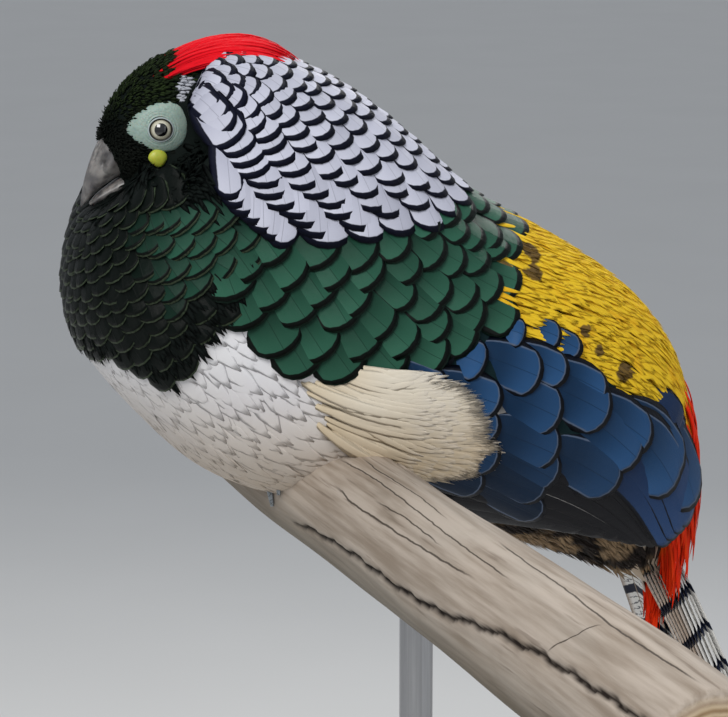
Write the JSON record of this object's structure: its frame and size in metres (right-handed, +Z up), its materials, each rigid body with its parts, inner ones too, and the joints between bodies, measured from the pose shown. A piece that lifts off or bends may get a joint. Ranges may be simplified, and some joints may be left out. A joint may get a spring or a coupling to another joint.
{
  "type": "pheasant model",
  "caption": "Life-size still model of a male Lady Amherst's pheasant resting on a cut log, held up by a plain rod and base so that its long tail hangs free.",
  "frame": {"origin": "middle of the stand's underside, on the floor", "axes": "+Z up, the bird faces -X, its left side is towards -Y, and the log runs along Y"},
  "size_m": [0.6943, 0.51, 1.1036],
  "materials": {
    "head": "short glossy feathers",
    "neck": "smooth feathers",
    "torso": "soft feathers",
    "wing_left": "glossy feathers",
    "wing_right": "glossy feathers",
    "tail": "smooth feathers",
    "bill_upper": "satin horn",
    "bill_lower": "satin horn",
    "eye_left": "wet gloss",
    "eye_right": "wet gloss",
    "leg_left": "scaly, matt",
    "leg_right": "scaly, matt",
    "perch_log": "weathered, bare",
    "stand_base": "dark, satin",
    "stand_rod": "satin"
  },
  "bodies": {
    "root": {"head": "head", "neck": "neck", "torso": "torso", "wing_left": "wing_left", "wing_right": "wing_right", "tail": "tail", "bill_upper": "bill_upper", "bill_lower": "bill_lower", "eye_left": "eye_left", "eye_right": "eye_right", "leg_left": "leg_left", "leg_right": "leg_right", "perch_log": "perch_log", "stand_base": "stand_base", "stand_rod": "stand_rod"}
  },
  "joints": []
}
